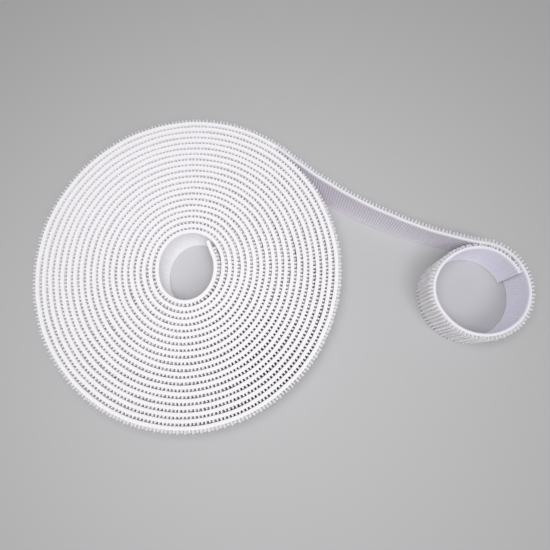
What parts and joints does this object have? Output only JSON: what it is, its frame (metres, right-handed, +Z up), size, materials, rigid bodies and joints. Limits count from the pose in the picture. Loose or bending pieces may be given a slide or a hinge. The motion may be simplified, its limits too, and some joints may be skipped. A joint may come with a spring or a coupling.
{
  "type": "hook and loop tape roll",
  "caption": "Coreless roll of white woven hook tape lying on its edge with the hooks facing out; the loose tail ends in a small lapped curl. The hook half of a touch fastener.",
  "frame": {"origin": "under the middle of the whole outline, on the surface that the tape's lower edge stands on", "axes": "+X from the roll towards the curl, +Y towards the side where the tail leaves the roll, +Z up along the roll's axis"},
  "size_m": [0.1936, 0.125, 0.02],
  "materials": {
    "woven_web": "cool white woven nylon, fine cross ribs, smooth selvedges",
    "hook_filament": "whitish clear nylon monofilament, satin"
  },
  "bodies": {
    "roll": {"wound_web": "woven_web", "outer_turn_hooks": "hook_filament"},
    "tail_root": {"tail_root_web": "woven_web", "tail_root_hooks": "hook_filament"},
    "tail_end": {"tail_end_web": "woven_web", "tail_end_hooks": "hook_filament"},
    "curl": {"curl_web": "woven_web", "curl_hooks": "hook_filament"},
    "free_end": {"free_end_web": "woven_web"}
  },
  "joints": [
    {"name": "tail_peel", "type": "hinge", "parent": "roll", "child": "tail_root", "pos_m": [0.00303, 0.046, 0.01], "axis": [0, 0, 1], "range_deg": [-8, 45], "stiffness_Nm_per_rad": 0.004},
    {"name": "tail_flex", "type": "hinge", "parent": "tail_root", "child": "tail_end", "pos_m": [0.03886, 0.02246, 0.01], "axis": [0, 0, 1], "range_deg": [-25, 25], "stiffness_Nm_per_rad": 0.004},
    {"name": "curl_bend", "type": "hinge", "parent": "tail_end", "child": "curl", "pos_m": [0.07965, 0.00928, 0.01], "axis": [0, 0, 1], "range_deg": [-4, 45], "stiffness_Nm_per_rad": 0.004},
    {"name": "free_end_lift", "type": "hinge", "parent": "curl", "child": "free_end", "pos_m": [0.0724, 0.00662, 0.01], "axis": [0, 0, 1], "range_deg": [-20, 0], "stiffness_Nm_per_rad": 0.004}
  ]
}
